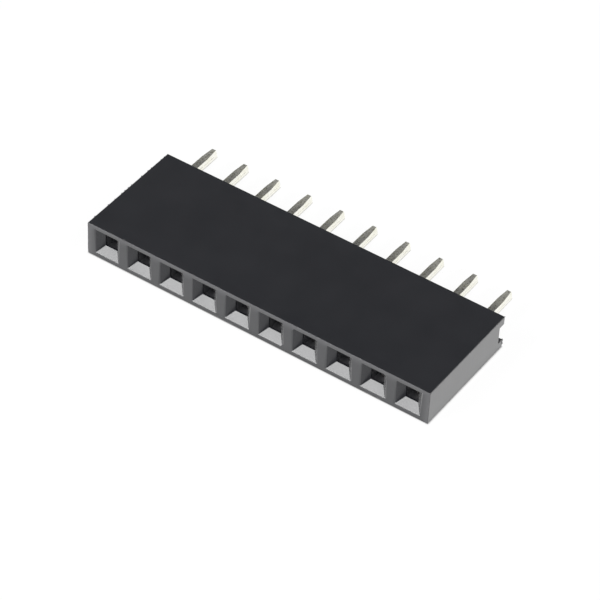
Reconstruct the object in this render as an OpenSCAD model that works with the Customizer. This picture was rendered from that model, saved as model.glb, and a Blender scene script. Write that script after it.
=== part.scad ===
// Female pin header strip: one row of sockets for square pins, with straight tails
// for soldering through a board. One moulded housing holds a stamped contact in
// each cell.
//
// The strip lies on one of its broad sides. X runs along the row, the sockets open
// towards -Y, the tails point to +Y, and Z = 0 is the surface under the strip. The
// origin is under the middle of the whole part, tails included. Millimetres.

/* [Row] */
// Number of sockets in the row
ways = 10; // [1:1:40]
// Distance from one socket to the next
pitch = 2.54; // [2.2:0.01:5]
// Plastic beyond the outermost cell at each end of the row
end_extra = 0.25; // [0:0.05:2]

/* [Housing] */
// Depth of the housing, from the socket face to the board face
body_d = 8.5; // [7:0.1:14]
// Thickness of the housing, from one broad side to the other
body_t = 2.54; // [2.3:0.01:4]
// Wall between a cavity and a broad side
cavity_wall = 0.52; // [0.35:0.01:0.6]
// Width of each of the two rails that stand on the board
rail_w = 0.62; // [0.3:0.01:0.8]
// Depth of the groove between the rails
channel_d = 0.5; // [0.1:0.05:1.2]
// Lead-in chamfer where a contact is pushed into its cavity
load_chamfer = 0.15; // [0.02:0.01:0.3]

/* [Socket mouth] */
// Rim between the funnel and a broad side
mouth_rim = 0.29; // [0.1:0.01:0.6]
// Rib between two neighbouring funnels
mouth_rib = 0.68; // [0.3:0.01:1.2]
// Depth of the funnel
funnel_d = 0.51; // [0.2:0.01:1]
// Width of the throat behind the funnel, along the row
throat_w = 0.92; // [0.7:0.01:1.1]
// Height of the throat behind the funnel, across the strip
throat_h = 0.94; // [0.7:0.01:1.1]
// Length of the straight throat
throat_l = 0.12; // [0.05:0.01:0.5]

/* [Contact] */
// Thickness of the sheet that a contact is stamped from
sheet_t = 0.32; // [0.15:0.01:0.34]
// Inside radius of the folds in a contact's base
fold_r = 0.05; // [0.02:0.01:0.12]
// Length of the channel-shaped base that holds a contact in its pocket
base_l = 1.9; // [1.2:0.1:2.4]
// Width of the base along the row, without its barbs
base_w = 1.1; // [0.9:0.01:1.3]
// How far a barb stands out from the base
barb_out = 0.1; // [0.05:0.01:0.15]
// Length of one barb along the base
barb_l = 0.5; // [0.3:0.05:0.6]
// Distance from the stop ledge to the first barb
barb_start = 0.35; // [0.1:0.05:0.6]
// Distance from the start of one barb to the start of the next
barb_step = 0.8; // [0.6:0.05:0.9]
// Width of the ledge that stops a contact as it is pushed in
ledge_w = 0.1; // [0.05:0.01:0.15]
// Depth of the pocket from the groove's floor to the stop ledge
pocket_d = 2.7; // [2.4:0.1:3.5]
// Gap between the base and the cavity's broad walls
base_gap = 0.02; // [0.01:0.005:0.05]
// Gap between a leaf's edges and the sides of its chamber, at the leaf's root
leaf_gap = 0.05; // [0.02:0.01:0.1]
// Width of a leaf at its tip
leaf_tip_w = 0.56; // [0.3:0.01:0.7]
// Gap between the two leaves where they grip a pin
grip_gap = 0.46; // [0.2:0.01:0.6]
// Distance from the leaves' tips back to where they grip
grip_back = 0.6; // [0.4:0.05:1]
// Angle at which the tips flare apart
flare_angle = 18; // [8:1:24]
// Gap between the throat and the leaves' tips
tip_gap = 0.7; // [0.06:0.01:1.2]
// Coined bevel on the inner edge of a leaf's tip
tip_bevel = 0.08; // [0.02:0.01:0.12]
// Corners cut off a leaf's tip
tip_cut = 0.08; // [0.02:0.01:0.12]
// Centreline radius of the bends that lead a leaf inwards and out again
leaf_r = 0.5; // [0.3:0.05:0.8]

/* [Tail] */
// Width of a tail, along the row
tail_w = 0.5; // [0.4:0.01:0.6]
// Length of a tail beyond the board face
tail_out = 3.25; // [1.5:0.05:10]
// Length over which the two halves of a contact close up into the tail
neck_l = 0.7; // [0.6:0.05:1.2]
// Centreline radius of the bends in that neck
neck_r = 0.28; // [0.2:0.01:0.3]
// Rounding of a tail's long edges
tail_edge_r = 0.03; // [0.02:0.01:0.1]
// Width and depth of the seam where the tail's two layers meet
seam = 0.04; // [0.02:0.01:0.08]
// Length of the tapered end of a tail
taper_l = 1.25; // [0.3:0.05:1.4]
// Width of a tail's upper face at its end
end_w = 0.28; // [0.25:0.01:0.4]
// Thickness of a tail at its end
end_t = 0.6; // [0.25:0.01:0.64]
// Corners cut off at the sides and below at the very end of a tail
end_cut = 0.08; // [0.02:0.01:0.12]
// Length of the slope that leads from a tail's upper side down to its end
end_slope_l = 0.13; // [0.05:0.01:0.3]
// Height of that slope
end_slope_h = 0.2; // [0.05:0.01:0.25]

/* [Hidden] */
// Overshoot of cuts past a face
cut = 1;
// Largest turn that one flat of a bend takes
flat_angle = 6;
// Length of each half's stub inside the tail
tail_root = 0.1;
// Parts of a barb's length at which its ramp ends and its crest ends
barb_ramp = 0.7;
barb_crest = 0.9;
row_l = ways * pitch + 2 * end_extra;
total_d = body_d + tail_out;

// Openings in one cell
mouth_w = pitch - mouth_rib;
mouth_h = body_t - 2 * mouth_rim;
cavity_h = body_t - 2 * cavity_wall;
pocket_w = base_w + barb_out;
chamber_w = pocket_w - 2 * ledge_w;

// Places along Y, measured from the socket face
chamber_y = funnel_d + throat_l;
floor_y = body_d - channel_d;
stop_y = floor_y - pocket_d;
base_end_y = stop_y + base_l;
neck_end_y = base_end_y + neck_l;
tip_y = chamber_y + tip_gap;
grip_y = tip_y + grip_back;
taper_y = total_d - taper_l;

// Lean of a tail's sides at its end
end_lean = atan2((tail_w - end_w) / 2, end_t);

// Heights of the sheet's middle above the contact's middle plane
layer_z = sheet_t / 2;
leg_z = cavity_h / 2 - base_gap - layer_z;
grip_z = grip_gap / 2 + layer_z;

// Sides of the base along X: its closed back lies on the pocket's wall
base_back_x = -pocket_w / 2;
base_open_x = base_back_x + base_w;
flat_x = base_back_x + sheet_t + fold_r;

// A sideways jog made of two equal bends with a straight run between them:
// the angle of the bends, and the length of the run, for a jog `rise` high
// within the length `go`, where r2 is the sum of the two radii
function jog_angle(go, rise, r2) =
    asin(r2 / norm([go, r2 - rise])) - atan2(r2 - rise, go);
function jog_run(go, rise, r2) =
    (go - r2 * sin(jog_angle(go, rise, r2))) / cos(jog_angle(go, rise, r2));

neck_angle = jog_angle(neck_l, leg_z - layer_z, 2 * neck_r);
neck_run = jog_run(neck_l, leg_z - layer_z, 2 * neck_r);
leaf_angle = jog_angle(stop_y - grip_y, leg_z - grip_z, 2 * leaf_r);
leaf_run = jog_run(stop_y - grip_y, leg_z - grip_z, 2 * leaf_r);
flare_run = (grip_back - leaf_r * sin(flare_angle)) / cos(flare_angle);

function contact_name(way) = str("contact_", way < 10 ? "0" : "", way);
function way_x(way) = (way - (ways + 1) / 2) * pitch;

// Moves from the strip's own frame, which starts at the middle of the socket
// face, to the part's frame
module place(x = 0) {
    translate([x, -total_d / 2, body_t / 2]) children();
}

// Extrusions of a 2D shape: of (y, z) along X, and of (x, z) along Y
module along_x(width) {
    translate([-width / 2, 0, 0]) rotate([90, 0, 90]) linear_extrude(width) children();
}
module along_y(from, to) {
    translate([0, to, 0]) rotate([90, 0, 0]) linear_extrude(to - from) children();
}

// A block centred on X and Z that runs from one depth to another
module block(width, from, to, height) {
    translate([-width / 2, from, -height / 2]) cube([width, to - from, height]);
}

// ---- Housing ----

// Half of a funnel's outline: wide at the socket face, narrow at the throat
module taper_2d(wide, narrow, length) {
    slope = (wide - narrow) / 2 / length;
    polygon([
        [-cut, wide / 2 + cut * slope], [length, narrow / 2],
        [length, -narrow / 2], [-cut, -wide / 2 - cut * slope]
    ]);
}

// Four-sided funnel: two wedges, one across each way, keep what they share
module funnel() {
    intersection() {
        along_x(mouth_w + 2 * cut) taper_2d(mouth_h, throat_h, funnel_d);
        rotate([0, 90, 0]) along_x(mouth_h + 2 * cut) taper_2d(mouth_w, throat_w, funnel_d);
    }
}

// Chamfer on the two sides of a pocket, where a contact goes in
module load_chamfers() {
    along_z = cavity_h;
    translate([0, 0, -along_z / 2]) linear_extrude(along_z) polygon([
        [-pocket_w / 2, floor_y - load_chamfer], [pocket_w / 2, floor_y - load_chamfer],
        [pocket_w / 2 + load_chamfer, floor_y], [-pocket_w / 2 - load_chamfer, floor_y]
    ]);
}

// Everything that is open in one cell, from the funnel to the board face
module cell() {
    funnel();
    block(throat_w, funnel_d, chamber_y, throat_h);
    block(chamber_w, chamber_y, stop_y, cavity_h);
    block(pocket_w, stop_y, body_d + cut, cavity_h);
    load_chamfers();
}

module housing() {
    color([0.17, 0.17, 0.19]) place() difference() {
        block(row_l, 0, body_d, body_t);
        block(row_l + 2 * cut, floor_y, body_d + cut, body_t - 2 * rail_w);
        for (way = [1:ways]) translate([way_x(way), 0, 0]) cell();
    }
}

// ---- Contact ----

// A place on the walk along a strip of sheet seen on edge: [along, up, heading].
// It moves on by a straight run, or by a turn that is positive to the left.
function after_run(at, run) =
    [at[0] + run * cos(at[2]), at[1] + run * sin(at[2]), at[2]];
function after_turn(at, turn, radius) = [
    at[0] + sign(turn) * radius * (sin(at[2] + turn) - sin(at[2])),
    at[1] - sign(turn) * radius * (cos(at[2] + turn) - cos(at[2])),
    at[2] + turn
];

// Every place that the strip's outline needs, for moves that are each
// [straight run, turn in degrees, radius of the turn]
function walk(at, moves, step = 0) = step == len(moves) ? [at] :
    let (
        run_end = after_run(at, moves[step][0]),
        turn = moves[step][1],
        radius = moves[step][2],
        flats = ceil(abs(turn) / flat_angle)
    )
    concat(
        moves[step][0] > 0 ? [at] : [],
        turn == 0 ? [] : [run_end],
        [for (i = [1:1:flats - 1]) after_turn(run_end, turn * i / flats, radius)],
        walk(after_turn(run_end, turn, radius), moves, step + 1)
    );

// The point beside a place, to the left of its heading
function beside(at, left) = [at[0] - left * sin(at[2]), at[1] + left * cos(at[2])];

// One half of a contact from the side: out of the tail, up the neck, along the
// base, in to the grip and out to the tip, whose inner edge is coined away
module half_side_2d() {
    places = walk([-tail_root, layer_z, 0], [
        [tail_root, neck_angle, neck_r],
        [neck_run, -neck_angle, neck_r],
        [base_l, -leaf_angle, leaf_r],
        [leaf_run, leaf_angle + flare_angle, leaf_r],
        [flare_run, 0, 0]
    ]);
    last = len(places) - 1;
    bevel_start = after_run(places[last], -tip_bevel);
    translate([neck_end_y, 0]) mirror([1, 0]) polygon(concat(
        [for (at = places) beside(at, layer_z)],
        [beside(places[last], tip_bevel - layer_z), beside(bevel_start, -layer_z)],
        [for (i = [last - 1:-1:0]) beside(places[i], -layer_z)]
    ));
}

// Stamped outline of both halves from above: cut corners at the tip, a leaf that
// widens to its root, barbs on the base's open side, and the neck
module plan_2d() {
    tip = leaf_tip_w / 2;
    stub = (tail_w - seam) / 2 - tail_edge_r;
    polygon(concat(
        [[-tip, tip_y + tip_cut], [tip_cut - tip, tip_y], [tip_cut - tip, 0]],
        [[tip - tip_cut, 0], [tip - tip_cut, tip_y], [tip, tip_y + tip_cut]],
        [[chamber_w / 2 - leaf_gap, stop_y], [base_open_x, stop_y]],
        [for (start = [barb_start, barb_start + barb_step]) each [
            [base_open_x, stop_y + start],
            [base_open_x + barb_out, stop_y + start + barb_ramp * barb_l],
            [base_open_x + barb_out, stop_y + start + barb_crest * barb_l],
            [base_open_x, stop_y + start + barb_l]
        ]],
        [[base_open_x, base_end_y], [stub, neck_end_y], [stub, neck_end_y + tail_root]],
        [[-stub, neck_end_y + tail_root], [-stub, neck_end_y]],
        [[flat_x, base_end_y], [flat_x, stop_y]]
    ));
}

// Both halves: the bent side view cut to the stamped outline
module halves() {
    intersection() {
        along_x(2 * pocket_w) {
            half_side_2d();
            mirror([0, 1]) half_side_2d();
        }
        translate([0, 0, -cavity_h / 2]) linear_extrude(cavity_h) plan_2d();
    }
}

// A rectangle from back to front and from -half to half, rounded at the back
module round_back_2d(back, front, half, radius) {
    translate([back + radius, -half]) square([front - back - radius, 2 * half]);
    translate([back, radius - half]) square([radius, 2 * (half - radius)]);
    for (side = [-1, 1]) translate([back + radius, side * (half - radius)])
        circle(radius, $fn = 48);
}

// Channel-shaped base: a web against the pocket's wall, folded into both halves
module base() {
    half = leg_z + layer_z;
    along_y(stop_y, base_end_y) difference() {
        round_back_2d(base_back_x, base_open_x, half, sheet_t + fold_r);
        round_back_2d(base_back_x + sheet_t, base_open_x + cut, half - sheet_t, fold_r);
    }
}

// Cross-section of the tail: two layers pressed flat, with a seam on the open side
module tail_section_2d() {
    difference() {
        union() {
            square([tail_w - 2 * tail_edge_r, 2 * sheet_t], center = true);
            square([tail_w, 2 * (sheet_t - tail_edge_r)], center = true);
            for (x = [-1, 1], z = [-1, 1])
                translate([x * (tail_w / 2 - tail_edge_r), z * (sheet_t - tail_edge_r)])
                    circle(tail_edge_r, $fn = 32);
        }
        translate([tail_w / 2, 0]) rotate(45) square(seam / sqrt(2), center = true);
    }
}

// One side of the tail's end. Along the upper face it runs in to half of end_w, and
// it leans out below, so that the tail stays wide at its lower face.
module leaning_side() {
    translate([end_w / 2, 0, sheet_t]) rotate([0, -end_lean, 0])
        linear_extrude(2 * cavity_h, center = true) polygon([
            [-2 * tail_w, neck_end_y], [tail_w, neck_end_y], [tail_w, taper_y],
            [(tail_w - end_w) / 2, taper_y], [0, total_d - end_cut], [-end_cut, total_d],
            [-2 * tail_w, total_d]
        ]);
}

// Tail: the section, tapered from both sides and from below towards its end, which
// slopes down at its upper side
module tail() {
    intersection() {
        along_y(neck_end_y, total_d) tail_section_2d();
        leaning_side();
        mirror([1, 0, 0]) leaning_side();
        along_x(2 * tail_w) polygon([
            [neck_end_y, sheet_t], [neck_end_y, -sheet_t], [taper_y, -sheet_t],
            [total_d - end_cut, sheet_t - end_t], [total_d, sheet_t - end_t + end_cut],
            [total_d, sheet_t - end_slope_h], [total_d - end_slope_l, sheet_t]
        ]);
    }
}

module contact(way) {
    color([0.72, 0.71, 0.66]) place(way_x(way)) {
        halves();
        base();
        tail();
    }
}

housing();
for (way = [1:ways])
    contact(way);
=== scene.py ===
# %% [markdown]
# # A female pin header strip
# The strip is one block of black plastic with a row of square sockets, and a
# stamped, tin-plated spring contact in each. The CAD model already holds every
# solid at its real size, so this notebook gives them their finish: the tiny
# rounding of moulded and stamped edges, the grain of the plastic, the bloom of
# the tin, and the scraps of flash that a mould leaves. Nothing here moves or
# resizes a CAD part. Every length is in metres, apart from those of the lens.

# %% Load the frame
import math

import bmesh
import bpy
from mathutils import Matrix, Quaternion, Vector


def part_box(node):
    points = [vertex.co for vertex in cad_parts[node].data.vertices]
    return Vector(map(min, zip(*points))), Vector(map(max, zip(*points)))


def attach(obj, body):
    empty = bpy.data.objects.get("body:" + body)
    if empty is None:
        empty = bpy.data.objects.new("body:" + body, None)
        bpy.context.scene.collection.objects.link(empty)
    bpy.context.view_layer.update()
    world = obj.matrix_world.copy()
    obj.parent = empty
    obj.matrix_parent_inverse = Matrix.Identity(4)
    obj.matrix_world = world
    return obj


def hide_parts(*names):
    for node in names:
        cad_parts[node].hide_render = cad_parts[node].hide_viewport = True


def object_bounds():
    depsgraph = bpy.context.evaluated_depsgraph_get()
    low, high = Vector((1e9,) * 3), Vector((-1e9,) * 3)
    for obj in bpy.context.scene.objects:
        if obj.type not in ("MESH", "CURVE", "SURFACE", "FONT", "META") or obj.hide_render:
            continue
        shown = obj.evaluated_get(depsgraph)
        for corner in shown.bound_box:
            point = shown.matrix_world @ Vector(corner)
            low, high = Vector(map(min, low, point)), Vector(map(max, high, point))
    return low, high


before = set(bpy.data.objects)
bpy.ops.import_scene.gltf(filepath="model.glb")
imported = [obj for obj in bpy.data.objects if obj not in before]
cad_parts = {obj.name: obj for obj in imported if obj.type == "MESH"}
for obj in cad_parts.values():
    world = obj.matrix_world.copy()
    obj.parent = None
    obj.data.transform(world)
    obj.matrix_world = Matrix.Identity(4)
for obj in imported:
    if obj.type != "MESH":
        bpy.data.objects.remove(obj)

cad_lo, cad_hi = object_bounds()
print("CAD nodes:", sorted(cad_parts))

# %% [markdown]
# ## Sizes
# The places of everything below come from the boxes of the CAD nodes. A node's
# box gives its lowest and highest corner, so the row's length, its ends and the
# distance from one contact to the next need not be typed in again. What lies
# inside a box can't be read from it, so the thickness of the sheet is typed in
# here, and further down the depth of the ramps and the width of a rail.

# %% Measure the housing and the row
MM = 0.001
BODY = "root"
SHEET_THICKNESS = 0.32 * MM
housing_lo, housing_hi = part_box("housing")
row_length = housing_hi.x - housing_lo.x
thickness = housing_hi.z - housing_lo.z
housing_middle = (housing_lo + housing_hi) / 2
contact_names = sorted(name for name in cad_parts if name.startswith("contact_"))
contact_boxes = [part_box(name) for name in contact_names]
contact_x = [(lo.x + hi.x) / 2 for lo, hi in contact_boxes]
pitch = (contact_x[-1] - contact_x[0]) / (len(contact_x) - 1)
tail_end_y = max(hi.y for lo, hi in contact_boxes)
tail_lo_z = housing_middle.z - SHEET_THICKNESS
print(f"{len(contact_names)} contacts, {pitch / MM:.2f} mm apart, in {row_length / MM:.1f} mm")

# %% [markdown]
# ## Camera
# A product picture of a small part is taken with a long lens from well away, so
# that its parallel edges stay nearly parallel. The camera is placed on a sphere
# round the point that it aims at: azimuth 0 is straight in front of the sockets,
# and elevation is above the table. A slight roll tips the horizon. The lamps
# further down are placed and turned in the same way, so both jobs have a helper.

# %% Place the camera
LENS_MM = 178.85
SENSOR_MM = 36.0
VIEW_AZIMUTH, VIEW_ELEVATION, VIEW_ROLL = 32.645, 42.631, 2.946
VIEW_DISTANCE = 7.1935 * row_length
NEAREST_SEEN, FARTHEST_SEEN = row_length / 10, row_length * 400
AIM_OFFSET = Vector((1.203, -0.941, -0.02)) * MM


def direction(azimuth, elevation):
    """Unit vector from the part towards a place on the sphere round it, for degrees."""
    azimuth, elevation = math.radians(azimuth), math.radians(elevation)
    level = math.cos(elevation)
    return Vector((math.sin(azimuth) * level, -math.cos(azimuth) * level, math.sin(elevation)))


def add_object(name, data):
    """An object that shows a mesh, a camera or a lamp, linked into the scene."""
    made = bpy.data.objects.new(name, data)
    bpy.context.scene.collection.objects.link(made)
    return made


def turn_towards(thing, way, roll=0.0):
    """Turns a camera or a lamp to look along a vector, rolled by some degrees."""
    rolled = Quaternion((0, 0, 1), math.radians(roll))
    thing.rotation_mode = "QUATERNION"
    thing.rotation_quaternion = way.to_track_quat("-Z", "Y") @ rolled


camera_data = bpy.data.cameras.new("camera")
camera_data.lens = LENS_MM
camera_data.sensor_width = SENSOR_MM
camera_data.clip_start, camera_data.clip_end = NEAREST_SEEN, FARTHEST_SEEN
camera = add_object("camera", camera_data)
towards_camera = direction(VIEW_AZIMUTH, VIEW_ELEVATION)
camera.location = housing_middle + AIM_OFFSET + towards_camera * VIEW_DISTANCE
turn_towards(camera, -towards_camera, VIEW_ROLL)
bpy.context.scene.camera = camera
bpy.context.scene.view_settings.view_transform = "Standard"
print(f"camera {VIEW_DISTANCE / MM:.0f} mm from the part")

# %% [markdown]
# ## Shader maths
# A shader is a graph of nodes, and a formula such as `1 - mask * 0.3` takes three
# of them. Wiring those by hand hides the formula. A small class can stand for the
# output of a node instead: Python's own operators then add the Math nodes, and one
# method adds every other kind of node.

# %% The Wire class
class Wire:
    """The output of a node in the tree being built. Operators add Math nodes."""

    tree = None

    def __init__(self, socket):
        self.socket = socket

    @classmethod
    def node(cls, kind, settings=None, sockets=None, output=0):
        """Adds a node of any kind: its settings first, then its sockets' values or wires."""
        made = cls.tree.nodes.new(kind)
        for name, value in (settings or {}).items():
            setattr(made, name, value)
        for name, value in (sockets or {}).items():
            if isinstance(value, Wire):
                cls.tree.links.new(value.socket, made.inputs[name])
            else:
                made.inputs[name].default_value = value
        return cls(made.outputs[output]) if len(made.outputs) else None

    @classmethod
    def math(cls, operation, first, second=0.0):
        """Adds a Math node. Numbers and wires can be mixed."""
        return cls.node("ShaderNodeMath", {"operation": operation}, {0: first, 1: second})

    def __add__(self, other):
        return self.math("ADD", self, other)

    def __sub__(self, other):
        return self.math("SUBTRACT", self, other)

    def __rsub__(self, other):
        return self.math("SUBTRACT", other, self)

    def __mul__(self, other):
        return self.math("MULTIPLY", self, other)

    def __rtruediv__(self, other):
        return self.math("DIVIDE", other, self)

    __radd__ = __add__
    __rmul__ = __mul__

    def __abs__(self):
        return self.math("ABSOLUTE", self)


print("maths on wires ready")

# %% [markdown]
# The helpers below name what the finishes need: a speckle of a real size, a step
# that fades in between two values, and a value that several patterns change, each
# with its own weight. A finish can then keep its weights in small tables and hold
# no numbers of its own. Sizes are in metres, because Object coordinates are.

# %% Helpers for patterns
def start_tree(owner):
    """Empties the node tree of a material or a world, and lets Wire build in it."""
    owner.use_nodes = True
    Wire.tree = owner.node_tree
    Wire.tree.nodes.clear()


def drawn_out(place, stretch):
    """A place for patterns that are drawn out along the axes where stretch is small."""
    return Wire.node("ShaderNodeMapping", sockets={"Vector": place, "Scale": stretch})


def axes(place):
    """The x, y and z of a place, each on a wire of its own."""
    split = Wire.node("ShaderNodeSeparateXYZ", sockets={0: place}).socket.node
    return [Wire(split.outputs[axis]) for axis in "XYZ"]


def facing():
    """How far the surface faces along x, y and z, from -1 to 1, on three wires."""
    return axes(Wire.node("ShaderNodeNewGeometry", output="Normal"))


def speckle(place, size, detail=2.0):
    """Noise round zero, from about -0.5 to 0.5, whose blotches are `size` across."""
    sockets = {"Vector": place, "Scale": 1 / size, "Detail": detail}
    return Wire.node("ShaderNodeTexNoise", sockets=sockets) - 0.5


def fade_in(value, start, end):
    """0 below start, 1 above end, and smooth between them."""
    sockets = {"Value": value, "From Min": start, "From Max": end}
    return Wire.node("ShaderNodeMapRange", {"interpolation_type": "SMOOTHSTEP"}, sockets)


def least(first, *others):
    """The smallest of several wires."""
    for other in others:
        first = Wire.math("MINIMUM", first, other)
    return first


def weighted(patterns, base, weights):
    """A base value plus each named pattern times its weight."""
    total = base
    for name, weight in weights.items():
        total = total + patterns[name] * weight
    return total


print("pattern helpers ready")

# %% [markdown]
# A finish ends in a colour, a normal and a shader. Real wear lies in layers, such
# as a scuff over a rubbed edge over the plastic's own colour. So the colours are
# laid over each other in turn, and each layer has a share that says where it
# shows. Painting them on by hand would need an image, which this script avoids.

# %% Helpers for colours and shaders
# A Mix node has sockets for every kind of value. These are the ones for colours.
MIX_COLOUR_A, MIX_COLOUR_B, MIX_COLOUR_OUT = 6, 7, 2


def blend(share, colour_a, colour_b):
    """Colour a where share is 0 and colour b where it is 1."""
    sockets = {0: share, MIX_COLOUR_A: colour_a, MIX_COLOUR_B: colour_b}
    return Wire.node("ShaderNodeMix", {"data_type": "RGBA"}, sockets, MIX_COLOUR_OUT)


def layered(colour, layers):
    """A colour with others laid over it in turn, each by its own share."""
    for share, over in layers:
        colour = blend(share, colour, over)
    return colour


def bumps(height):
    """A normal that follows a height given in metres."""
    return Wire.node("ShaderNodeBump", sockets={"Height": height, "Distance": 1.0})


def end_tree(sockets):
    """Ends a material's tree with a Principled shader that has these sockets."""
    shader = Wire.node("ShaderNodeBsdfPrincipled", sockets=sockets)
    Wire.node("ShaderNodeOutputMaterial", sockets={"Surface": shader})


print("colour helpers ready")

# %% [markdown]
# ## Black moulded plastic
# The housing is moulded in a glass-filled black plastic. The mould is spark
# eroded, so the surface has a fine satin grain, and the melt leaves faint flow
# marks. Edges are painted a little lighter, partly as wear and partly as a
# painted highlight. A band along the top and the ends of the socket face is a
# painted highlight. The ramp on one side of each socket gets a paler grey, which
# is a painted reflection of the bright lower ramp. The walls deep inside the
# sockets and the groove are painted lighter, as painted light where the lamps
# hardly reach. At each end of the row the strip was parted from a longer one,
# which leaves fine lines across the end face. A plain black would look like a
# hole, so colour, roughness and height all vary. Each zone is found from the
# distance below a face of the block, or from the way that the surface faces, so
# the finish needs no painted mask.

# %% Colours, sizes and weights of the plastic
PLASTIC_DARK = (0.0065, 0.0072, 0.0100, 1.0)
PLASTIC_PALE = (0.0110, 0.0117, 0.0150, 1.0)
# Painted lighter on worn edges, flash, nibs and burrs: partly wear, partly a painted highlight.
PLASTIC_WORN_AND_HIGHLIGHT = (0.0450, 0.0450, 0.0470, 1.0)
PLASTIC_PARTED = (0.0500, 0.0500, 0.0520, 1.0)
# Painted highlight along the top and the ends of the socket face.
PLASTIC_RIM_HIGHLIGHT = (0.0450, 0.0450, 0.0490, 1.0)
# Painted light on the walls deep inside the sockets and the groove, where the lamps hardly
# reach.
PLASTIC_DEEP_PAINTED_LIGHT = (0.0550, 0.0550, 0.0600, 1.0)
# Painted reflection of the bright lower ramp, on the ramps that face left.
PLASTIC_RAMP_REFLECTION = (0.1500, 0.1500, 0.1520, 1.0)

# Sizes of the patterns, and how much the lines are drawn out.
GRAIN = 0.045 * MM
FLOW = 1.8 * MM
LINES = 0.11 * MM
LINE_STRETCH = (1.0, 1.0, 0.05)
WEAR_PATCHES = 0.3 * MM
# Size of the blotches in the painted reflection on the ramps.
RAMP_REFLECTION_BLOTCHES = 0.1 * MM

# Depths below the faces of the block, which divide it into zones.
SKIN = 0.06 * MM
FACE_ONLY = (SKIN / 4, SKIN / 2)
BELOW_SKIN = (SKIN / 2, SKIN)
RAMP_DEPTH = 0.55 * MM
RAMP_END = (RAMP_DEPTH * 0.9, RAMP_DEPTH)
BEHIND_RAMP = (RAMP_DEPTH, RAMP_DEPTH * 1.3)
# How far in from the top and the ends the painted highlight on the socket face reaches.
RIM_HIGHLIGHT_BAND = (0.0, 0.6 * MM)
TURNED_LEFT = (0.2, 0.6)

# A base value, and how strongly each pattern changes it.
PLASTIC_TONE = (0.5, {"flow": 0.9, "grain": 0.8})
PLASTIC_WEAR_AND_HIGHLIGHT = (0.6, {"wear_patches": 1.0})
# How strongly the painted reflection on the ramps shows, with blotches.
PLASTIC_RAMP_REFLECTION_SHARE = (0.9, {"ramp_reflection_blotches": 0.6})
PLASTIC_ROUGHNESS = (0.22, {"outside": 0.14, "grain": 0.10, "flow": 0.10, "rubbed_and_highlight": 0.08})
PLASTIC_COAT = (0.0, {"outside": 0.85, "end_face": 0.15})
PLASTIC_HEIGHT = (0.0, {"grain": 0.0016 * MM, "flow": 0.006 * MM, "end_lines": 0.004 * MM})
PARTED_SHARE = 0.6
PLASTIC_IOR = 1.55
COAT_ROUGHNESS = 0.33

# The attribute that says how worn a face is, and so how much lighter it is painted, partly as
# wear and partly as a painted highlight.
EDGE_MARK = "edge"
print(f"grain {GRAIN / MM:.3f} mm, flow marks {FLOW / MM:.1f} mm, skin {SKIN / MM:.2f} mm")

# %% Zones of the housing
def housing_zones(place):
    """The block's outside, its ends, the band of painted highlight on the rims, the ramps that
    face left, and the deep walls that get painted light.
    """
    x, y, z = axes(place)
    below_end = row_length / 2 - abs(x - housing_middle.x)
    below_front = y - housing_lo.y
    below_broad = thickness / 2 - abs(z - housing_middle.z)
    below_back = housing_hi.y - y
    below_rim = least(below_end, housing_hi.z - z)
    inside = fade_in(least(below_end, below_front, below_broad, below_back), *BELOW_SKIN)
    socket_face = 1 - fade_in(below_front, *FACE_ONLY)
    on_ramp = 1 - fade_in(below_front, *RAMP_END)
    leftward = -1 * facing()[0]
    return {
        "outside": 1 - inside,
        "end_face": 1 - fade_in(below_end, *FACE_ONLY),
        # A band along the top and ends of the socket face, painted lighter as a highlight.
        "painted_rim_highlight": socket_face * (1 - fade_in(below_rim, *RIM_HIGHLIGHT_BAND)),
        # Walls deep inside, which get painted light.
        "painted_light_deep": inside * fade_in(below_front, *BEHIND_RAMP),
        "left_facing_ramp": (
            fade_in(leftward, *TURNED_LEFT) * on_ramp * fade_in(below_end, *BELOW_SKIN)
        ),
    }


print("zones start", SKIN / MM, "mm and", RAMP_DEPTH / MM, "mm below the faces")

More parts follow.
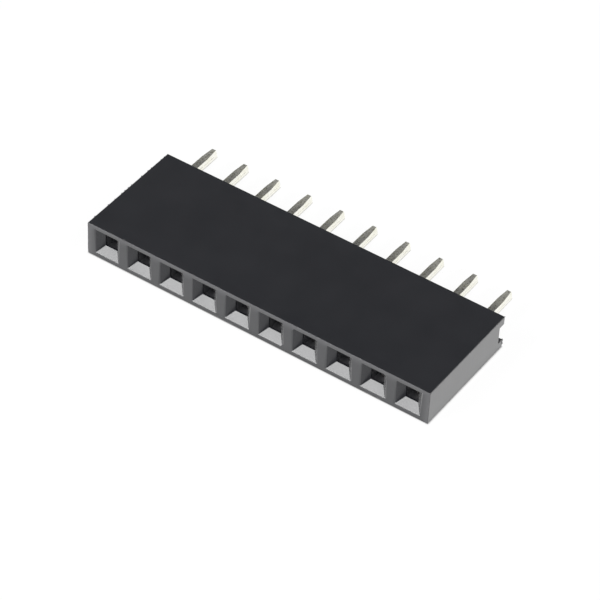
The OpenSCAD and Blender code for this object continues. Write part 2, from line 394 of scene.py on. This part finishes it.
# %% Plastic material
def plastic_finish():
    """The satin black of the housing, the grey of its rubbed and parted places, and the painted
    highlights, reflection and light that lie over it.
    """
    material = bpy.data.materials.new("black_moulded_plastic")
    start_tree(material)
    place = Wire.node("ShaderNodeTexCoord", output="Object")
    patterns = housing_zones(place)
    patterns["grain"] = speckle(place, GRAIN, detail=3.0)
    patterns["flow"] = speckle(place, FLOW)
    patterns["wear_patches"] = speckle(place, WEAR_PATCHES)
    patterns["ramp_reflection_blotches"] = speckle(place, RAMP_REFLECTION_BLOTCHES)
    lines = speckle(drawn_out(place, LINE_STRETCH), LINES)
    patterns["end_lines"] = patterns["end_face"] * lines
    worn_and_highlight_mark = Wire.node("ShaderNodeAttribute", {"attribute_name": EDGE_MARK}, output="Fac")
    # Worn edges and flash are painted lighter, partly as wear and partly as a painted
    # highlight.
    patterns["rubbed_and_highlight"] = worn_and_highlight_mark * weighted(patterns, *PLASTIC_WEAR_AND_HIGHLIGHT)
    tone = weighted(patterns, *PLASTIC_TONE)
    # The ramps that face left get a painted reflection of the bright lower ramp.
    painted_ramp_reflection = patterns["left_facing_ramp"] * weighted(patterns, *PLASTIC_RAMP_REFLECTION_SHARE)
    layers = [
        (patterns["painted_light_deep"], PLASTIC_DEEP_PAINTED_LIGHT),
        (painted_ramp_reflection, PLASTIC_RAMP_REFLECTION),
        (patterns["end_face"] * PARTED_SHARE, PLASTIC_PARTED),
        (patterns["painted_rim_highlight"], PLASTIC_RIM_HIGHLIGHT),
        (patterns["rubbed_and_highlight"] * patterns["outside"], PLASTIC_WORN_AND_HIGHLIGHT),
    ]
    end_tree({
        "Base Color": layered(blend(tone, PLASTIC_DARK, PLASTIC_PALE), layers),
        "Roughness": weighted(patterns, *PLASTIC_ROUGHNESS),
        "IOR": PLASTIC_IOR,
        "Coat Weight": weighted(patterns, *PLASTIC_COAT),
        "Coat Roughness": COAT_ROUGHNESS,
        "Normal": bumps(weighted(patterns, *PLASTIC_HEIGHT)),
    })
    return material


black_plastic = plastic_finish()
print("material", black_plastic.name, "has", len(black_plastic.node_tree.nodes), "nodes")

# %% [markdown]
# ## Tin plate
# The contacts are stamped from a copper alloy and plated with matt tin. Tin is a
# warm, pale grey with a fine bloom. The rolled faces of the sheet have faint
# lines along the strip, small dents, dark specks, and dull, yellowish stains. The
# sheared sides are paler, and a grey band along their lower edge, and everything
# below it, is painted shade. The tails grow duller towards their ends, where they
# are handled most.
# The very end was cut from its carrier after plating, so it shows some bare alloy.

# %% Colours, sizes and weights of the tin
TIN_PALE = (1.0, 0.99, 0.95, 1.0)
TIN_DULL = (0.92, 0.91, 0.78, 1.0)
TIN_STAIN = (0.53, 0.52, 0.36, 1.0)
TIN_SPECK = (0.34, 0.33, 0.24, 1.0)
# Painted shade along the lower edge of the tails and on their undersides.
TIN_LOWER_EDGE_SHADE = (0.54, 0.53, 0.51, 1.0)
BARE_ALLOY = (0.66, 0.50, 0.30, 1.0)

# Sizes of the patterns, and how much the rolling lines are drawn out.
ROLLING_LINES = 0.05 * MM
ROLLING_STRETCH = (1.0, 0.06, 1.0)
BLOOM = 0.03 * MM
PATCHES = 0.6 * MM
DENTS = 0.1 * MM
STAINS = 0.22 * MM
SPECKS = 0.13 * MM
# Size of the blotches in the painted shade along the lower edge.
LOWER_EDGE_BLOTCHES = 0.2 * MM

# Where a noise is high enough for a stain or a speck, and where the zones lie.
STAINED = (0.02, 0.2)
SPECKED = (0.05, 0.14)
CUT_END = 0.035 * MM
AT_CUT = (tail_end_y - CUT_END, tail_end_y - CUT_END / 3)
DULL_LENGTH = 3.2 * MM
TOWARD_END = (tail_end_y - DULL_LENGTH, tail_end_y)
# The height of the painted shade along the lower edge of the tails.
SHADED_EDGE_HEIGHT = 0.15 * MM
ABOVE_SHADED_EDGE = (tail_lo_z + SHADED_EDGE_HEIGHT / 2, tail_lo_z + SHADED_EDGE_HEIGHT)

# A base value, and how strongly each pattern changes it.
TIN_TONE = (0.45, {"patches": 1.2, "bloom": 0.5})
TIN_STAINING = (0.12, {"rolled": 0.42})
# How strongly the painted shade along the lower edge shows, with blotches.
TIN_LOWER_EDGE_SHADE_SHARE = (0.7, {"lower_edge_blotches": 1.0})
TIN_ROUGHNESS = (
    0.325, {"toward_end": 0.13, "stains": 0.10, "bloom": 0.12, "patches": 0.16, "lines": 0.08}
)
TIN_HEIGHT = (0.0, {"bloom": 0.0012 * MM, "lines": 0.0016 * MM, "dents": 0.004 * MM})
SPECK_SHARE = 0.6
ALLOY_SHARE = 0.7
print(f"stains {STAINS / MM:.2f} mm, specks {SPECKS / MM:.2f} mm, bloom {BLOOM / MM:.2f} mm")

# %% Tin material
def tin_finish():
    """The pale, slightly stained tin of the contacts, with painted shade along the lower edges
    of the tails.
    """
    material = bpy.data.materials.new("matt_tin_plate")
    start_tree(material)
    place = Wire.node("ShaderNodeTexCoord", output="Object")
    y, z = axes(place)[1:]
    patterns = {
        "bloom": speckle(place, BLOOM, detail=3.0),
        "patches": speckle(place, PATCHES),
        "dents": speckle(place, DENTS),
        "lower_edge_blotches": speckle(place, LOWER_EDGE_BLOTCHES),
        "lines": speckle(drawn_out(place, ROLLING_STRETCH), ROLLING_LINES),
        "toward_end": fade_in(y, *TOWARD_END),
        "rolled": abs(facing()[2]),
    }
    stained = fade_in(speckle(place, STAINS, detail=4.0), *STAINED)
    patterns["stains"] = stained * weighted(patterns, *TIN_STAINING)
    specks = fade_in(speckle(place, SPECKS), *SPECKED) * patterns["rolled"]
    # Everything below the lower edge of the tails gets painted shade.
    painted_lower_edge_shade = 1 - fade_in(z, *ABOVE_SHADED_EDGE)
    tone = weighted(patterns, *TIN_TONE)
    layers = [
        (patterns["stains"], TIN_STAIN),
        (specks * SPECK_SHARE, TIN_SPECK),
        (painted_lower_edge_shade * weighted(patterns, *TIN_LOWER_EDGE_SHADE_SHARE), TIN_LOWER_EDGE_SHADE),
        (fade_in(y, *AT_CUT) * ALLOY_SHARE, BARE_ALLOY),
    ]
    end_tree({
        "Base Color": layered(blend(tone, TIN_PALE, TIN_DULL), layers),
        "Metallic": 1.0,
        "Roughness": weighted(patterns, *TIN_ROUGHNESS),
        "Normal": bumps(weighted(patterns, *TIN_HEIGHT)),
    })
    return material


tin_plate = tin_finish()
print("material", tin_plate.name, "has", len(tin_plate.node_tree.nodes), "nodes")

# %% [markdown]
# ## Rounded edges
# No moulded or stamped edge is perfectly sharp. A radius of a few hundredths of a
# millimetre is too small to see as a shape, yet it catches a thin line of light,
# and without it the part looks like paper. The CAD mesh is loose triangles, so a
# copy is merged, its flat faces are made whole again, and its sharp edges are
# bevelled. A bevel can be asked for in some places only, so that one piece can
# have edges of several radii. The new faces are marked with how worn they are,
# which lets the finish paint them lighter, partly as wear and partly as a painted
# highlight.

# %% Normals that keep flat faces flat
SHARP_ANGLE = math.radians(35)

# A thin rounding is fully worn and gets the full painted highlight, and a broad one hardly,
# which also tells them apart.
THIN_WEAR_AND_HIGHLIGHT = 1.0
BROAD_WEAR_AND_HIGHLIGHT = 0.05
MIDDLE_WEAR_AND_HIGHLIGHT = 0.5


def keep_flats_flat(mesh):
    """Sets the shading normals, so that only the rounding turns from face to face.

    At a corner, a face of a thin rounding takes the normal of the wide faces beside
    it, and a wide face shares its normal only with wide faces that it runs into. A
    broad rounding counts as wide faces that run into each other.
    """
    thin = [mark.value > MIDDLE_WEAR_AND_HIGHLIGHT for mark in mesh.attributes[EDGE_MARK].data]
    most_turned = math.cos(SHARP_ANGLE)
    faces_at = [[] for _ in mesh.vertices]
    for face in mesh.polygons:
        for vertex in face.vertices:
            faces_at[vertex].append(face)
    normals = []
    for face in mesh.polygons:
        for vertex in face.vertices:
            near = [f for f in faces_at[vertex] if not thin[f.index]] or faces_at[vertex]
            if not thin[face.index]:
                near = [f for f in near if f.normal.dot(face.normal) > most_turned]
            total = sum((f.normal * f.area for f in near), Vector())
            normals.append(total.normalized() if total.length > 0 else face.normal)
    mesh.normals_split_custom_set(normals)


print("edges sharper than", round(math.degrees(SHARP_ANGLE)), "degrees get rounded")

# %% Merge and bevel a copy of a CAD node
FLAT_ANGLE = math.radians(0.5)
MERGE_DISTANCE = 0.003 * MM
ROUND_STEPS = 3
ROUND_PROFILE = 0.5


def round_edges(bm, mark, radius, wear_and_highlight, where):
    """Bevels the sharp edges that lie where asked, apart from those of a rounding."""
    sharp = [
        edge for edge in bm.edges
        if edge.calc_face_angle(0.0) > SHARP_ANGLE
        and not any(face[mark] for face in edge.link_faces)
        and where((edge.verts[0].co + edge.verts[1].co) / 2)
    ]
    made = bmesh.ops.bevel(
        bm, geom=sharp, offset=radius, offset_type="OFFSET", segments=ROUND_STEPS,
        profile=ROUND_PROFILE, affect="EDGES", clamp_overlap=False,
    )
    for face in made["faces"]:
        face[mark] = wear_and_highlight


def rounded_copy(node, name, roundings):
    """A piece that stands for a CAD node, with its roundings made in turn.

    A rounding is a radius, its wear and painted highlight, and a test for the places that it is
    for.
    """
    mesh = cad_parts[node].data.copy()
    mesh.name = name
    bm = bmesh.new()
    bm.from_mesh(mesh)
    bmesh.ops.remove_doubles(bm, verts=bm.verts, dist=MERGE_DISTANCE)
    bmesh.ops.dissolve_limit(
        bm, angle_limit=FLAT_ANGLE, verts=bm.verts, edges=bm.edges, delimit=set()
    )
    mark = bm.faces.layers.float.new(EDGE_MARK)
    for radius, wear_and_highlight, where in roundings:
        round_edges(bm, mark, radius, wear_and_highlight, where)
    for face in bm.faces:
        face.smooth = True
    bm.to_mesh(mesh)
    bm.free()
    keep_flats_flat(mesh)
    mesh.materials.clear()
    return add_object(name, mesh)


print("vertices closer than", MERGE_DISTANCE / MM, "mm are merged")

# %% [markdown]
# ## The housing
# The real housing is one injection moulding with a cell for each contact. Its
# funnels, pockets and groove are all in the CAD node, so this piece only adds
# the soft edges that a mould leaves. The upright edges of the mouths are the
# roundest, because they guide the pins. The outer edges of the row's two ends
# come next, and all other edges are nearly sharp. Sculpting would be another way,
# but it would move the walls that the contacts sit against.

# %% Places that have a rounding of their own
def anywhere(place):
    """True for every place, for a rounding of all the edges that are left."""
    return True


def at_row_end(place):
    """Whether a place lies on an outer edge of one of the row's two ends.

    Those on the board face are left out, because they are as sharp as the rails.
    """
    below_end = min(place.x - housing_lo.x, housing_hi.x - place.x)
    below_others = min(place.y - housing_lo.y, place.z - housing_lo.z, housing_hi.z - place.z)
    on_board_face = housing_hi.y - place.y < MERGE_DISTANCE
    return max(below_end, below_others) < MERGE_DISTANCE and not on_board_face


def beside_mouth(place):
    """Whether a place is the middle of an upright edge of a socket's mouth."""
    below_face = place.y - housing_lo.y
    return max(below_face, abs(place.z - housing_middle.z)) < MERGE_DISTANCE


print("tests for the row's ends and the sockets' mouths ready")

# %% The housing
END_EDGE = 0.05 * MM
MOUTH_EDGE = 0.11 * MM
OTHER_EDGE = 0.018 * MM
roundings = [
    (END_EDGE, THIN_WEAR_AND_HIGHLIGHT, at_row_end),
    (MOUTH_EDGE, BROAD_WEAR_AND_HIGHLIGHT, beside_mouth),
    (OTHER_EDGE, THIN_WEAR_AND_HIGHLIGHT, anywhere),
]
housing = rounded_copy("housing", "moulded_housing", roundings)
housing.data.materials.append(black_plastic)
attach(housing, BODY)
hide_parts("housing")
print("housing faces:", len(housing.data.polygons))

# %% [markdown]
# ## The contacts
# A contact is stamped from thin sheet and folded into a base, two spring leaves
# and a tail. Stamping leaves a smaller rounding than moulding. The ten are alike,
# but each stands for a CAD node of its own, so a loop makes one piece per node.
# Their stains come from noise in Object coordinates, which differ from tail to
# tail, so no two look quite the same.

# %% The contacts
CONTACT_EDGE = 0.012 * MM
for node in contact_names:
    piece = rounded_copy(node, f"plated_{node}", [(CONTACT_EDGE, THIN_WEAR_AND_HIGHLIGHT, anywhere)])
    piece.data.materials.append(tin_plate)
    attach(piece, BODY)
    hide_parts(node)
print("faces of one contact:", len(piece.data.polygons))

# %% [markdown]
# ## Scraps of flash
# Where the two halves of a mould meet, a little melt creeps between them and
# leaves flash: a thin, uneven line. Here it runs round the outline of the socket
# face. A line that follows a path is a job for Geometry Nodes: a tree that is fed
# a guide of bare edges grows the shape along it, and another guide can use the
# same tree. The helpers start a tree with named inputs, end it with real faces
# and a material, and keep what it grew as a plain mesh.

# %% Helpers for trees
NUMBER, WHOLE_NUMBER = "NodeSocketFloat", "NodeSocketInt"


def start_group(name, inputs):
    """A Geometry Nodes tree with named inputs, and a wire for each input."""
    group = bpy.data.node_groups.new(name, "GeometryNodeTree")
    group.interface.new_socket("Geometry", in_out="OUTPUT", socket_type="NodeSocketGeometry")
    for label, kind in {"Geometry": "NodeSocketGeometry", **inputs}.items():
        group.interface.new_socket(label, in_out="INPUT", socket_type=kind)
    Wire.tree = group
    entry = group.nodes.new("NodeGroupInput")
    return group, {socket.name: Wire(socket) for socket in entry.outputs if socket.name}


def evenly_spaced(guide, spacing):
    """A guide's edges as curves, with points along them at this spacing."""
    curve = Wire.node("GeometryNodeMeshToCurve", sockets={"Mesh": guide})
    sockets = {"Curve": curve, "Length": spacing}
    return Wire.node("GeometryNodeResampleCurve", {"mode": "LENGTH"}, sockets)


def end_group(shape, material):
    """Makes a shape's instances real, marks it as worn, which paints it lighter as wear and as
    a painted highlight, and gives it its material.
    """
    real = Wire.node("GeometryNodeRealizeInstances", sockets={"Geometry": shape})
    smooth = Wire.node("GeometryNodeSetShadeSmooth", sockets={"Geometry": real})
    marked = Wire.node(
        "GeometryNodeStoreNamedAttribute",
        {"data_type": "FLOAT", "domain": "FACE"},
        {"Geometry": smooth, "Name": EDGE_MARK, "Value": THIN_WEAR_AND_HIGHLIGHT},
    )
    dressed = Wire.node(
        "GeometryNodeSetMaterial", sockets={"Geometry": marked, "Material": material}
    )
    Wire.node("NodeGroupOutput", sockets={"Geometry": dressed})


def edges_mesh(places, edges):
    """A guide for a tree: points joined by bare edges."""
    mesh = bpy.data.meshes.new("guide")
    mesh.from_pydata(places, edges, [])
    return mesh


def grow(name, guide, group, values):
    """Runs a tree on a guide and keeps the result as a plain mesh at the origin."""
    source = add_object("guide", guide)
    modifier = source.modifiers.new("grow", "NODES")
    modifier.node_group = group
    for item in group.interface.items_tree:
        if item.in_out == "INPUT" and item.name in values:
            modifier[item.identifier] = values[item.name]
    bpy.context.view_layer.update()
    evaluated = source.evaluated_get(bpy.context.evaluated_depsgraph_get())
    mesh = bpy.data.meshes.new_from_object(evaluated)
    mesh.name = name
    bpy.data.objects.remove(source)
    print(name, "has", len(mesh.polygons), "faces")
    return add_object(name, mesh)


print("tree helpers ready")

# %% [markdown]
# The guide of the flash is a loop of four edges. The tree turns it into a curve,
# gives each point a radius from noise, and sweeps a small circle along it. The
# noise has a fixed seed, so that each run gives the same flash. Moving the points
# of a bevelled edge by noise would be another way, but it would change the solid.

# %% The tree for a line of flash
UNEVENNESS = 3.0
FLASH_SIDES = 6


def flash_tree():
    """Sweeps a circle of uneven radius along the guide's edges."""
    inputs = {"Step": NUMBER, "Radius": NUMBER, "Blotch": NUMBER, "Seed": WHOLE_NUMBER}
    group, given = start_group("flash_line", inputs)
    curve = evenly_spaced(given["Geometry"], given["Step"])
    sockets = {"W": given["Seed"], "Scale": 1 / given["Blotch"], "Detail": 3.0}
    noise = Wire.node("ShaderNodeTexNoise", {"noise_dimensions": "4D"}, sockets)
    swell = given["Radius"] * (1.0 + UNEVENNESS * (noise - 0.5))
    sockets = {"Resolution": FLASH_SIDES, "Radius": 1.0}
    circle = Wire.node("GeometryNodeCurvePrimitiveCircle", sockets=sockets)
    sockets = {"Curve": curve, "Profile Curve": circle, "Scale": swell}
    end_group(Wire.node("GeometryNodeCurveToMesh", sockets=sockets), black_plastic)
    return group


flash_group = flash_tree()
print("tree", flash_group.name, "has", len(flash_group.nodes), "nodes")

# %% Flash round the socket face
INSET = END_EDGE / 3
left, right = housing_lo.x + INSET, housing_hi.x - INSET
front, back = housing_lo.y + INSET, housing_hi.y - INSET
bottom, top = housing_lo.z + END_EDGE, housing_hi.z - INSET
outline = edges_mesh(
    [(left, front, bottom), (right, front, bottom), (right, front, top), (left, front, top)],
    [(0, 1), (1, 2), (2, 3), (3, 0)],
)
sizes = {"Step": 0.10 * MM, "Radius": 0.020 * MM, "Blotch": 0.45 * MM, "Seed": 7}
flash = grow("socket_face_flash", outline, flash_group, sizes)
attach(flash, BODY)

# %% [markdown]
# ## Torn nibs
# Strips are snapped from a longer one, and small nibs of plastic stay along the
# edges of the break. The tree drops a small flake on some of the points along its
# guide, each turned and stretched at random, but always thin across the break. A
# flake has only eighty faces, as it is smaller than a grain of salt.

# %% The tree for nibs
LEAST_TURN, MOST_TURN = (-0.3, -0.3, -0.3), (0.3, 0.3, 0.3)
LEAST_SCALE, MOST_SCALE = (0.3, 0.6, 0.6), (0.6, 1.2, 0.9)
LUMP_DETAIL = 2

# A Random Value node has an output for every kind of value. This one is yes or no.
YES_OR_NO_OUT = 3


def random_vector(least, most, seed):
    """A vector that differs from point to point, for a rotation or a scale."""
    sockets = {"Min": least, "Max": most, "Seed": seed}
    return Wire.node("FunctionNodeRandomValue", {"data_type": "FLOAT_VECTOR"}, sockets)


def nib_tree():
    """Scatters small lumps along the guide's edges."""
    inputs = {"Spacing": NUMBER, "Size": NUMBER, "Share": NUMBER, "Seed": WHOLE_NUMBER}
    group, given = start_group("torn_nibs", inputs)
    sockets = {"Radius": given["Size"], "Subdivisions": LUMP_DETAIL}
    lump = Wire.node("GeometryNodeMeshIcoSphere", sockets=sockets)
    seed = given["Seed"]
    sockets = {"Probability": given["Share"], "Seed": seed}
    settings = {"data_type": "BOOLEAN"}
    kept = Wire.node("FunctionNodeRandomValue", settings, sockets, YES_OR_NO_OUT)
    sockets = {
        "Points": evenly_spaced(given["Geometry"], given["Spacing"]),
        "Selection": kept,
        "Instance": lump,
        "Rotation": random_vector(LEAST_TURN, MOST_TURN, seed + 1),
        "Scale": random_vector(LEAST_SCALE, MOST_SCALE, seed + 2),
    }
    end_group(Wire.node("GeometryNodeInstanceOnPoints", sockets=sockets), black_plastic)
    return group


nib_group = nib_tree()
print("tree", nib_group.name, "has", len(nib_group.nodes), "nodes")

# %% Nibs along the broken ends
NIB_SIZE = 0.065 * MM
nib_rows = (housing_lo.z + NIB_SIZE, top)
end_lines = [(x, y, z) for x in (left, right) for z in nib_rows for y in (front, back)]
end_edges = edges_mesh(end_lines, [(0, 1), (2, 3), (4, 5), (6, 7)])
sizes = {"Spacing": 0.35 * MM, "Size": NIB_SIZE, "Share": 0.4, "Seed": 3}
nibs = grow("end_face_nibs", end_edges, nib_group, sizes)
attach(nibs, BODY)

# %% [markdown]
# ## Burrs
# A few edges tore where the strip left its mould: one burr stands on the top edge
# of the socket face, a few on the top edge of one end, and some round the end of
# the lower rail. They are made by the tree of the nibs. Their guides are short
# lines that are given one by one, because each burr has its own place.

# %% Burrs on the top edges and at the end of the lower rail
BURR_LENGTH = 0.12 * MM
RAIL_WIDTH = 0.62 * MM
RAIL_BURR = 0.35 * MM
BURRS_BEHIND_FACE = [0.8 * MM, 1.4 * MM, 4.3 * MM, 5.5 * MM]
between_sockets = contact_x[0] + pitch / 2
burr_lines = [(between_sockets, front, top), (between_sockets + BURR_LENGTH, front, top)]
for behind in BURRS_BEHIND_FACE:
    y = housing_lo.y + behind
    burr_lines += [(right, y, top), (right, y + BURR_LENGTH, top)]
rail_top = housing_lo.z + RAIL_WIDTH - INSET
burr_lines += [(right, back, rail_top), (right, back - RAIL_BURR, rail_top)]
burr_lines += [(right, back, rail_top), (right, back, rail_top - RAIL_BURR)]
burr_edges = edges_mesh(burr_lines, [(i, i + 1) for i in range(0, len(burr_lines), 2)])
sizes = {"Spacing": 0.04 * MM, "Size": 0.085 * MM, "Share": 0.9, "Seed": 5}
burrs = grow("torn_burrs", burr_edges, nib_group, sizes)
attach(burrs, BODY)

# %% [markdown]
# ## Lamps
# Satin black shows its surroundings more than its own colour. A black face looks
# grey where it mirrors the pale floor, pale where it mirrors a lamp, and black
# where it mirrors the dark room. So each lamp is placed by what mirrors it. The
# front one stands where the ramps of the sockets throw it to the camera. The
# side one lights the end face. The fill one stands near the camera and reaches
# down the sockets. The overhead one is weak, which keeps the broad face dark.

# %% Soft boxes
def soft_box(name, azimuth, elevation, distance, width, radiance):
    """A square lamp that faces the part. Its power follows from how bright it looks."""
    data = bpy.data.lights.new(name, "AREA")
    data.shape = "SQUARE"
    data.size = width
    data.energy = math.pi * radiance * width * width
    lamp = add_object(name, data)
    towards_lamp = direction(azimuth, elevation)
    lamp.location = housing_middle + towards_lamp * distance
    turn_towards(lamp, -towards_lamp)


soft_box("front_soft_box", -30.4, 38.3, distance=0.50, width=0.20, radiance=11.5)
soft_box("overhead_soft_box", 60.0, 80.0, distance=0.60, width=0.36, radiance=1.0)
soft_box("side_soft_box", 100.0, 46.0, distance=0.60, width=0.30, radiance=4.0)
soft_box("fill_soft_box", 36.0, 46.0, distance=0.60, width=0.30, radiance=9.0)

# %% [markdown]
# ## Surroundings
# Behind a part on a table, the paper sweeps up like a low wall, and the room
# above it is dim. A world shader can stand for both, since nothing there is near
# enough to be seen as a shape: it is white up to the top of the paper and then
# fades to a dark grey. The height of that fade decides which edges catch a light
# line. A picture of a studio would do the same, but its light is hard to change.

# %% World
# Heights on a sphere round the part, from 0 at the horizon to 1 straight above.
PAPER_TOP = (0.25, 0.45)
PAPER_WHITE = (1.0, 1.0, 1.0, 1.0)
ROOM_ABOVE = (0.065, 0.065, 0.065, 1.0)
world = bpy.data.worlds.new("studio")
bpy.context.scene.world = world
start_tree(world)
toward = Wire.node("ShaderNodeTexCoord", output="Generated")
up = Wire.node("ShaderNodeSeparateXYZ", sockets={0: toward}, output="Z")
studio_colour = blend(fade_in(up, *PAPER_TOP), PAPER_WHITE, ROOM_ABOVE)
sky = Wire.node("ShaderNodeBackground", sockets={"Color": studio_colour})
Wire.node("ShaderNodeOutputWorld", sockets={"Surface": sky})
print("world", world.name, "has", len(world.node_tree.nodes), "nodes")

# %% [markdown]
# ## Floor
# The strip lies on white paper. Paper that is only lit turns out grey or tinted,
# so here it glows at a strength of 1, but only where the camera or a mirror sees
# it. All other rays meet ordinary lit paper, so the glow itself lights nothing. A
# small share of lit paper stays in view and keeps the soft shadow. The thin dark
# line where the part meets the paper comes from Ambient Occlusion, which dims the
# glow close to the part.

# %% Floor
FLOOR_HALF = 2.0
FLOOR_GAP = 0.01 * MM
FLOOR_LIT_SHARE = 0.08
PAPER_COLOUR = (0.9, 0.9, 0.9, 1.0)
CONTACT_SHADOW = 0.12 * MM
SHADOW_SAMPLES = 6
signs = [(-1, -1), (1, -1), (1, 1), (-1, 1)]
corners = [(x * FLOOR_HALF, y * FLOOR_HALF, cad_lo.z - FLOOR_GAP) for x, y in signs]
floor_mesh = bpy.data.meshes.new("floor")
floor_mesh.from_pydata(corners, [], [(0, 1, 2, 3)])
floor = add_object("floor", floor_mesh)
paper = bpy.data.materials.new("white_paper")
start_tree(paper)
rays = Wire.node("ShaderNodeLightPath").socket.node.outputs
seen = Wire(rays["Is Camera Ray"]) + Wire(rays["Is Glossy Ray"])
seen = seen + Wire(rays["Is Transmission Ray"])
lit = Wire.node("ShaderNodeBsdfDiffuse", sockets={"Color": PAPER_COLOUR})
settings, sockets = {"samples": SHADOW_SAMPLES}, {"Distance": CONTACT_SHADOW}
open_above = Wire.node("ShaderNodeAmbientOcclusion", settings, sockets, "AO")
white = Wire.node("ShaderNodeEmission", sockets={"Strength": open_above})
sockets = {0: seen * (1 - FLOOR_LIT_SHARE), 1: lit, 2: white}
mixed = Wire.node("ShaderNodeMixShader", sockets=sockets)
Wire.node("ShaderNodeOutputMaterial", sockets={"Surface": mixed})
floor.data.materials.append(paper)
print("floor", FLOOR_GAP / MM, "mm below the part")

# %% [markdown]
# ## Finish
# The last cell brings the scene up to date.

# %% Finish
bpy.context.view_layer.update()
